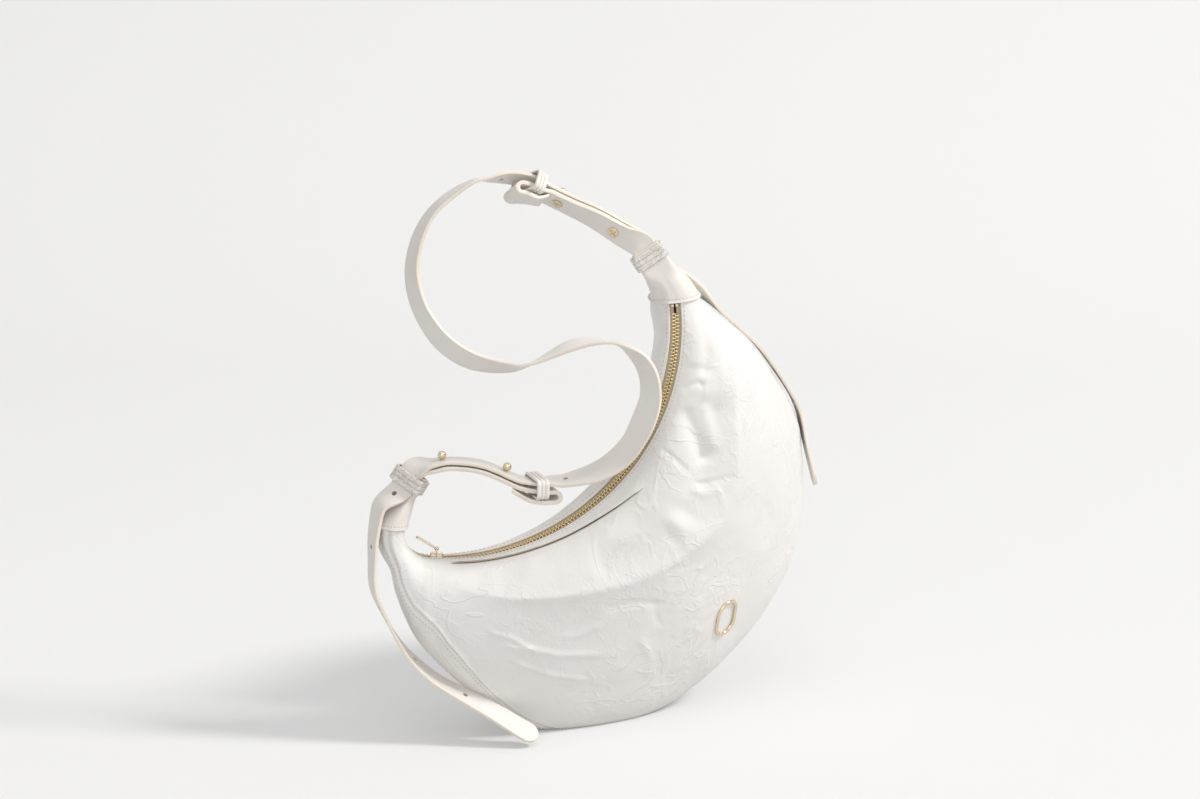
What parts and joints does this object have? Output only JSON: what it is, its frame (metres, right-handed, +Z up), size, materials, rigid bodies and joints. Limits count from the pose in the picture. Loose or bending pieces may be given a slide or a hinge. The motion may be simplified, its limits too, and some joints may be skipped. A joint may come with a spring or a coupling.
{
  "type": "half moon bag",
  "caption": "Slouchy half moon shoulder bag with a curved zip mouth, leather-capped horns, a short studded strap and hanging strap tails.",
  "frame": {"origin": "on the floor under the middle of the flat patch the soft bottom rests on, at the base mount", "axes": "+Z up, -Y out of the front face with the pocket and the emblem, +X to the right as seen from the front"},
  "size_m": [0.3695, 0.2764, 0.4582],
  "materials": {
    "leather_white": "soft off-white leather with a low sheen and painted cream edges",
    "cloth_beige": "plain woven beige lining cloth",
    "tape_beige": "woven beige zip tape",
    "pale_gold": "polished pale gold plating"
  },
  "bodies": {
    "bag": {"front_panel": "leather_white", "back_panel": "leather_white", "bottom_gusset": "leather_white", "lining": "cloth_beige", "front_pocket_bag": "cloth_beige", "zip_tape_front": "tape_beige", "zip_tape_back": "tape_beige", "zip_teeth_front": "pale_gold", "zip_teeth_back": "pale_gold", "zip_stops": "pale_gold", "cap_left": "leather_white", "cap_right": "leather_white", "horn_keeper_left": "leather_white", "horn_keeper_right": "leather_white", "strap_in_keeper_left": "leather_white", "strap_in_keeper_right": "leather_white", "emblem_ring": "pale_gold", "emblem_washers": "pale_gold"},
    "strap": {"shoulder_strap": "leather_white", "tab_left": "leather_white", "tab_right": "leather_white", "ring_keeper_left": "leather_white", "ring_keeper_right": "leather_white", "ball_studs": "pale_gold", "stud_screws": "pale_gold"},
    "tail_left": {"strap_tail_left": "leather_white"},
    "tail_right": {"strap_tail_right": "leather_white"},
    "zip_runner": {"zip_pull_ring": "pale_gold"},
    "zip_slider": {"zip_slider": "pale_gold"},
    "zip_pull": {"zip_pull": "pale_gold"}
  },
  "joints": [
    {"name": "strap_swing", "type": "hinge", "parent": "bag", "child": "strap", "pos_m": [0.03815, -0.03358, 0.39504], "axis": [-0.7178, -0.0831, -0.6913], "range_deg": [-5, 60], "deforming": ["tab_left", "tab_right"]},
    {"name": "tail_left_swing", "type": "hinge", "parent": "bag", "child": "tail_left", "pos_m": [-0.15374, -0.05652, 0.20473], "axis": [-0.7769, 0.4226, 0.4668], "range_deg": [0, 60]},
    {"name": "tail_right_swing", "type": "hinge", "parent": "bag", "child": "tail_right", "pos_m": [0.04808, -0.03149, 0.37943], "axis": [0.8615, 0.002, 0.5077], "range_deg": [0, 60]},
    {"name": "zip_travel", "type": "hinge", "parent": "bag", "child": "zip_runner", "pos_m": [-0.12137, -0.0446, 0.33588], "axis": [0, -1, 0], "range_deg": [0, 78], "deforming": ["zip_teeth_front", "zip_teeth_back"]},
    {"name": "zip_twist", "type": "hinge", "parent": "zip_runner", "child": "zip_slider", "pos_m": [-0.12589, -0.0446, 0.15094], "axis": [0.9997, 0, -0.0244], "range_deg": [0, 77]},
    {"name": "pull_swing", "type": "hinge", "parent": "zip_runner", "child": "zip_pull", "pos_m": [-0.1258, -0.0446, 0.15449], "axis": [0, 1, 0], "range_deg": [-25, 105]}
  ],
  "couplings": [
    {"joint": "zip_twist", "follows": "zip_travel", "ratio": 0.98}
  ]
}
